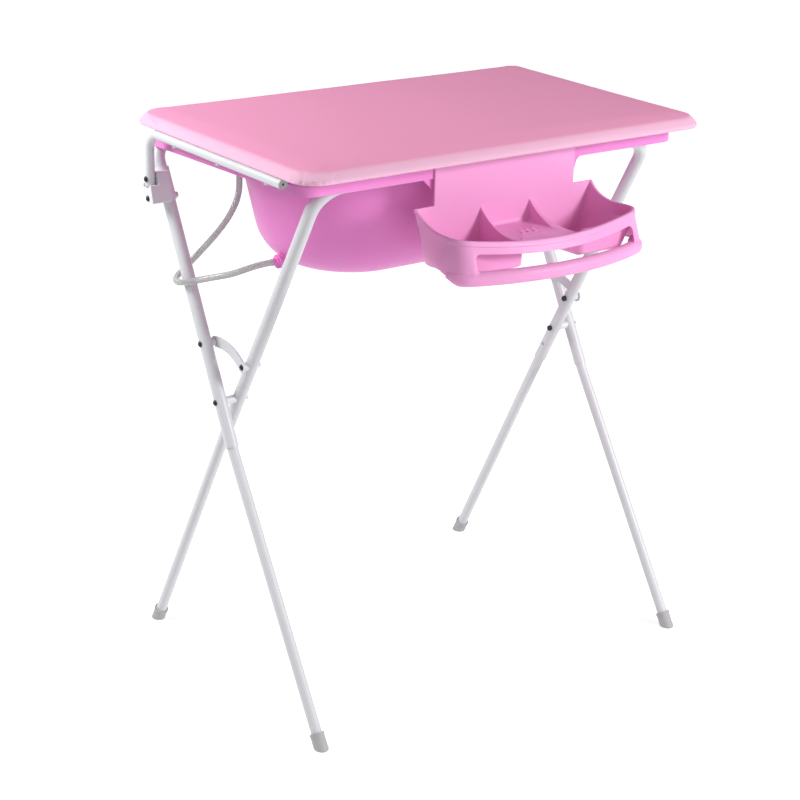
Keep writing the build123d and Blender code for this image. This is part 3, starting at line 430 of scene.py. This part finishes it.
def dress_frame():
    """Gives every carried node the finish of its own material slot, or its other one."""
    for part in frame["record"]["subparts"]:
        carried = nodes[part["node"]]
        finish = OTHER_FINISHES.get(part["node"], FINISHES[part["material_slot"]])
        carried.data.materials.clear()
        carried.data.materials.append(finish)


def paint_faces(name, finish, test):
    """Gives the faces of a carried node that pass a test a second finish."""
    mesh = nodes[name].data
    mesh.materials.append(finish)
    places = [corner.co for corner in mesh.vertices]
    for face in mesh.polygons:
        if test(face.center, [places[i] for i in face.vertices]):
            face.material_index = len(mesh.materials) - 1


def small_hardware():
    """Pale nuts on the left, in the shade of a leg, and painted shade in the sockets of the end
    plugs.
    """
    for name, reach in NUT_REACHES:
        paint_faces(name, NUT_FINISH, lambda middle, ends, reach=reach: -reach < middle.x < 0)
    low = min(corner.co.y for corner in nodes["arm_end_plugs"].data.vertices)

    def in_socket(middle, ends):
        """Whether a face of an end plug lies in its front socket."""
        out = max(
            math.hypot(abs(end.x) - PLUG_MIDDLE_X, end.z - PLUG_MIDDLE_Z) for end in ends
        )
        return middle.y < low + PLUG_SOCKET_DEPTH and out < PLUG_SOCKET_RADIUS

    # Paints the socket's faces dark as painted shade
    paint_faces("arm_end_plugs", SOCKET_PAINTED_SHADE, in_socket)


def only(piece):
    """Selects this piece alone and makes it active."""
    bpy.ops.object.select_all(action="DESELECT")
    piece.select_set(True)
    bpy.context.view_layer.objects.active = piece


def soft_edged_tray():
    """The tray's moulding again, its loose triangles joined and its sharp edges rounded over."""
    piece = nodes["accessory_tray"].copy()
    piece.data = piece.data.copy()
    piece.name = "accessory_tray_soft"
    bpy.context.scene.collection.objects.link(piece)
    only(piece)
    bpy.ops.object.mode_set(mode="EDIT")
    bpy.ops.mesh.select_all(action="SELECT")
    bpy.ops.mesh.remove_doubles(threshold=TRAY_MERGE_REACH)
    bpy.ops.mesh.dissolve_limited(angle_limit=TRAY_FLAT_ANGLE)
    bpy.ops.object.mode_set(mode="OBJECT")
    edge = piece.modifiers.new("edge", "BEVEL")
    edge.width = TRAY_EDGE_RADIUS
    edge.segments = TRAY_EDGE_STEPS
    edge.limit_method = "ANGLE"
    edge.angle_limit = TRAY_EDGE_ANGLE
    edge.use_clamp_overlap = False
    bpy.ops.object.modifier_apply(modifier="edge")
    bpy.ops.object.shade_smooth_by_angle(angle=TRAY_SMOOTH_ANGLE)
    # The tray's paler pink is painted light
    piece.data.materials.clear()
    piece.data.materials.append(TRAY_PAINTED_LIGHT_FINISH)
    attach(piece, "stand")
    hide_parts("accessory_tray")


def pick(piece, kind, test):
    """Selects the faces or edges of a piece that pass a test, ready for edit mode."""
    only(piece)
    bpy.context.tool_settings.mesh_select_mode = (False, kind == "EDGE", kind == "FACE")
    bpy.ops.object.mode_set(mode="EDIT")
    bpy.ops.mesh.select_all(action="DESELECT")
    bpy.ops.object.mode_set(mode="OBJECT")
    places = [corner.co for corner in piece.data.vertices]
    for member in piece.data.edges if kind == "EDGE" else piece.data.polygons:
        member.select = test(member, [places[i] for i in member.vertices])
    bpy.ops.object.mode_set(mode="EDIT")


def rounded_slab(name, length, depth, corner, low, high):
    """A plate with rounded corners between two heights."""
    bpy.ops.object.select_all(action="DESELECT")
    bpy.ops.mesh.primitive_cube_add(size=1.0, location=(0, 0, (low + high) / 2))
    slab = bpy.context.object
    slab.name = name
    slab.scale = (length, depth, high - low)
    bpy.ops.object.transform_apply(location=True, rotation=False, scale=True)
    pick(slab, "EDGE", lambda edge, ends: abs(ends[0].z - ends[1].z) > (high - low) / 2)
    bpy.ops.mesh.bevel(offset=corner, segments=CORNER_STEPS, affect="EDGES")
    bpy.ops.object.mode_set(mode="OBJECT")
    return slab


def swell(cover):
    """Blows the cover up from its held foot and caps how far each point moves."""
    held = cover.vertex_groups.new(name="foot")
    low = [corner.index for corner in cover.data.vertices if corner.co.z < PAD_FOOT / 2]
    held.add(low, 1.0, "ADD")
    cloth = cover.modifiers.new("air", "CLOTH")
    cloth.settings.use_pressure = True
    cloth.settings.uniform_pressure_force = PAD_PRESSURE
    cloth.settings.effector_weights.gravity = 0
    cloth.settings.vertex_group_mass = held.name
    cloth.settings.quality = PAD_CLOTH_QUALITY
    cloth.collision_settings.use_collision = False
    for step in range(1, PAD_STEPS + 1):
        bpy.context.scene.frame_set(step)
    blown = cover.evaluated_get(bpy.context.evaluated_depsgraph_get()).to_mesh()
    places = [corner.co.copy() for corner in blown.vertices]
    cover.modifiers.remove(cloth)
    bpy.context.scene.frame_set(1)
    for corner, place in zip(cover.data.vertices, places):
        along = 1 - (2 * corner.co.x / LID_LENGTH) ** 2
        across = 1 - (2 * corner.co.y / LID_DEPTH) ** 2
        cap = PAD_EDGE_SWELL + PAD_CROWN_SWELL * along * across
        move = place - corner.co
        if move.length > cap:
            move *= cap / move.length
        corner.co += move


def gathers():
    """The lines along which the vinyl is gathered under the board, each with its strength."""
    lines = []
    for side in (-1, 1):
        for end in (-1, 1):
            corner_x = side * (LID_LENGTH / 2 - LID_CORNER)
            corner_y = end * (LID_DEPTH / 2 - LID_CORNER)
            middle = math.atan2(end, side)
            for turn, rise, strength in PLEATS:
                angle = middle + math.radians(turn)
                out = Vector((math.cos(angle), math.sin(angle), 0))
                foot = Vector((corner_x, corner_y, 0)) + out * LID_CORNER
                top = foot - out * (rise * PLEAT_SLANT) + Vector((0, 0, rise))
                lines.append((foot, top, strength))
    front_left = Vector((-LID_LENGTH / 2, -LID_DEPTH / 2, 0))
    for start, end, strength in HEM_FOLDS:
        lines.append((front_left + Vector(start), front_left + Vector(end), strength))
    return lines


def crease(cover, lines):
    """Presses the gathers in and lets the face and the hem wave a little."""
    cover.data.update()
    normals = [corner.normal.copy() for corner in cover.data.vertices]
    for corner, normal in zip(cover.data.vertices, normals):
        place = corner.co.copy()
        if place.z > PAD_FOOT:
            across_face = Vector((place.x * FACE_WAVE_SCALE, place.y * FACE_WAVE_SCALE, 0))
            corner.co += normal * noise.noise(across_face) * FACE_WAVE
        edge = min(LID_LENGTH / 2 - abs(place.x), LID_DEPTH / 2 - abs(place.y))
        if edge > HEM_RUN or place.z > HEM_TOP:
            continue
        along_hem = Vector((place.x * HEM_WAVE_SCALE, place.y * HEM_WAVE_SCALE, HEM_WAVE_LAYER))
        fade = max(0.0, 1 - place.z / HEM_WAVE_TOP) * min(1.0, place.z / HEM_WAVE_FOOT)
        corner.co += normal * noise.noise(along_hem) * fade * HEM_WAVE
        for start, end, strength in lines:
            run = end - start
            along = max(0.0, min(1.0, (place - start).dot(run) / run.length_squared))
            gap = (place - start - run * along).length / PLEAT_WIDTH
            if gap > PLEAT_REACH:
                continue
            depth = math.exp(-(gap**2)) - PLEAT_LIP * math.exp(-((gap - PLEAT_LIP_PLACE) ** 2))
            corner.co -= normal * depth * strength * PLEAT_DEPTH * (1 - PLEAT_FADE * along)


def mark_painted_sheen(cover):
    """Notes on each point how strongly a painted sheen pales it, by how steep the sloping side is.
    """
    painted_sheen = cover.data.attributes.new("painted_sheen", "FLOAT", "POINT")
    for corner, mark in zip(cover.data.vertices, painted_sheen.data):
        steep = 1 - abs(corner.normal.z)
        mark.value = min(1.0, max(0.0, (steep - PAINTED_SHEEN_START) * PAINTED_SHEEN_GAIN))


def cushion_blank():
    """The cover's blank: a straight foot, a sloping side and a shoulder, with even faces."""
    cover = rounded_slab(
        "changing_top_cover",
        LID_LENGTH - 2 * PAD_SLACK,
        LID_DEPTH - 2 * PAD_SLACK,
        LID_CORNER,
        0.0,
        PAD_FOOT,
    )
    pick(cover, "FACE", lambda face, ends: face.normal.z > 0.9)
    bpy.ops.mesh.inset(thickness=PAD_SLOPE_RUN, depth=PAD_SLOPE_RISE)
    bpy.ops.mesh.inset(thickness=PAD_SHOULDER_RUN, depth=PAD_SHOULDER_RISE)
    bpy.ops.object.mode_set(mode="OBJECT")
    cover.data.remesh_voxel_size = PAD_VOXEL
    bpy.ops.object.voxel_remesh()
    return cover


def ease(cover):
    """Softens all above the cover's foot, then doubles the faces along each way."""
    raised = cover.vertex_groups.new(name="raised")
    high = [corner.index for corner in cover.data.vertices if corner.co.z > PAD_FOOT]
    raised.add(high, 1.0, "ADD")
    smooth = cover.modifiers.new("ease", "SMOOTH")
    smooth.factor = PAD_EASE_SHARE
    smooth.iterations = PAD_EASE_PASSES
    smooth.vertex_group = raised.name
    only(cover)
    bpy.ops.object.modifier_apply(modifier="ease")
    finer = cover.modifiers.new("finer", "SUBSURF")
    finer.levels = 1
    finer.render_levels = 1
    bpy.ops.object.modifier_apply(modifier="finer")
    cover.vertex_groups.clear()


def board_pocket(cover):
    """Cuts the room for the board, with the vinyl left round its edge."""
    cutter = rounded_slab(
        "board_pocket",
        LID_LENGTH - 2 * PAD_WRAP,
        LID_DEPTH - 2 * PAD_WRAP,
        LID_CORNER - PAD_WRAP,
        -BOARD_THICKNESS,
        BOARD_THICKNESS + SEAT_GAP,
    )
    pocket = cover.modifiers.new("pocket", "BOOLEAN")
    pocket.operation = "DIFFERENCE"
    pocket.solver = "EXACT"
    pocket.object = cutter
    only(cover)
    bpy.ops.object.modifier_apply(modifier="pocket")
    bpy.data.objects.remove(cutter)


def changing_top():
    """The vinyl cover, blown up over its foam, gathered at the hem and wrapped round the board."""
    cover = cushion_blank()
    swell(cover)
    ease(cover)
    crease(cover, gathers())
    board_pocket(cover)
    # The sloping sides get a painted sheen, a paler pink by steepness
    mark_painted_sheen(cover)
    lay = Matrix.Translation((0, LID_FRONT_Y, LID_FRONT_Z)) @ Matrix.Rotation(LID_TILT, 4, "X")
    cover.data.transform(lay @ Matrix.Translation((0, LID_DEPTH / 2, 0)))
    only(cover)
    bpy.ops.object.shade_smooth_by_angle(angle=PAD_SMOOTH_ANGLE)
    cover.data.materials.clear()
    cover.data.materials.append(FINISHES["pink_vinyl"])
    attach(cover, "changing_lid")
    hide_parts("changing_pad")


def drain_hose():
    """The clear hose on its route."""
    curve = bpy.data.curves.new("drain_hose_clear", "CURVE")
    curve.dimensions = "3D"
    spline = curve.splines.new("NURBS")
    spline.points.add(len(HOSE_ROUTE) - 1)
    for point, (x, y, z) in zip(spline.points, HOSE_ROUTE):
        point.co = (x, y + SHIFT_Y, z, 1.0)
    spline.order_u = 3
    spline.use_endpoint_u = True
    spline.resolution_u = HOSE_STEPS
    curve.bevel_depth = HOSE_DIAMETER / 2
    curve.bevel_resolution = HOSE_RING_STEPS
    curve.use_fill_caps = True
    hose = bpy.data.objects.new("drain_hose_clear", curve)
    bpy.context.scene.collection.objects.link(hose)
    curve.materials.append(FINISHES["clear_hose"])
    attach(hose, "stand")
    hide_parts("drain_hose")
    x, y, z = HOSE_ROUTE[0]


def either_ray(tree, path, first, second):
    """One where a ray is of either kind, else nought."""
    seen = node(tree, "ShaderNodeMath", operation="MAXIMUM")
    tree.links.new(path.outputs[first], seen.inputs[0])
    tree.links.new(path.outputs[second], seen.inputs[1])
    return seen.outputs["Value"]


def paper_floor():
    """The pale floor, which keeps the object's shadow and looks whiter away from it."""
    bpy.ops.object.select_all(action="DESELECT")
    bpy.ops.mesh.primitive_plane_add(size=FLOOR_SIZE, location=(0, 0, 0))
    floor = bpy.context.object
    floor.name = "floor"
    material, tree, shader = new_material("floor_paper")
    shader.inputs["Base Color"].default_value = FLOOR_COLOUR
    shader.inputs["Roughness"].default_value = 0.9
    shader.inputs["Emission Color"].default_value = WHITE
    place = node(tree, "ShaderNodeTexCoord")
    away = node(tree, "ShaderNodeVectorMath", operation="LENGTH")
    lift = node(tree, "ShaderNodeMapRange")
    lift.inputs["From Min"].default_value = FLOOR_LIFT_FROM
    lift.inputs["From Max"].default_value = FLOOR_LIFT_TO
    lift.inputs["To Min"].default_value = FLOOR_LIFT_NEAR
    lift.inputs["To Max"].default_value = FLOOR_LIFT_FAR
    path = node(tree, "ShaderNodeLightPath")
    seen = either_ray(tree, path, "Is Camera Ray", "Is Glossy Ray")
    shown = node(tree, "ShaderNodeMath", operation="MULTIPLY")
    tree.links.new(place.outputs["Object"], away.inputs[0])
    tree.links.new(away.outputs["Value"], lift.inputs["Value"])
    tree.links.new(seen, shown.inputs[0])
    tree.links.new(lift.outputs["Result"], shown.inputs[1])
    tree.links.new(shown.outputs["Value"], shader.inputs["Emission Strength"])
    floor.data.materials.append(material)


def white_world():
    """Soft light all round, shown as plain white to the camera and in gloss and clear pieces."""
    world = bpy.data.worlds.new("studio")
    bpy.context.scene.world = world
    world.use_nodes = True
    tree = world.node_tree
    light = tree.nodes["Background"]
    light.inputs["Color"].default_value = WHITE
    light.inputs["Strength"].default_value = WORLD_LIGHT
    shown = node(tree, "ShaderNodeBackground", Color=WHITE, Strength=WORLD_SHOWN)
    path = node(tree, "ShaderNodeLightPath")
    seen = node(tree, "ShaderNodeMath", operation="MAXIMUM")
    mix = node(tree, "ShaderNodeMixShader")
    tree.links.new(either_ray(tree, path, "Is Camera Ray", "Is Glossy Ray"), seen.inputs[0])
    tree.links.new(path.outputs["Is Transmission Ray"], seen.inputs[1])
    tree.links.new(seen.outputs["Value"], mix.inputs["Fac"])
    tree.links.new(light.outputs["Background"], mix.inputs[1])
    tree.links.new(shown.outputs["Background"], mix.inputs[2])
    tree.links.new(mix.outputs["Shader"], tree.nodes["World Output"].inputs["Surface"])


def soft_lamps():
    """Square lamps turned to the table, out of the camera's sight."""
    for name, place, size, power in LAMPS:
        data = bpy.data.lights.new(name, "AREA")
        data.shape = "SQUARE"
        data.size = size
        data.energy = power
        lamp = bpy.data.objects.new(name, data)
        bpy.context.scene.collection.objects.link(lamp)
        lamp.location = place
        lamp.visible_camera = False
        lamp.rotation_mode = "QUATERNION"
        lamp.rotation_quaternion = (LAMP_AIM - Vector(place)).to_track_quat("-Z", "Y")


put_camera()
drain_hose()
changing_top()
soft_edged_tray()
dress_frame()
small_hardware()
paper_floor()
white_world()
soft_lamps()
bpy.context.scene.view_settings.view_transform = "Standard"
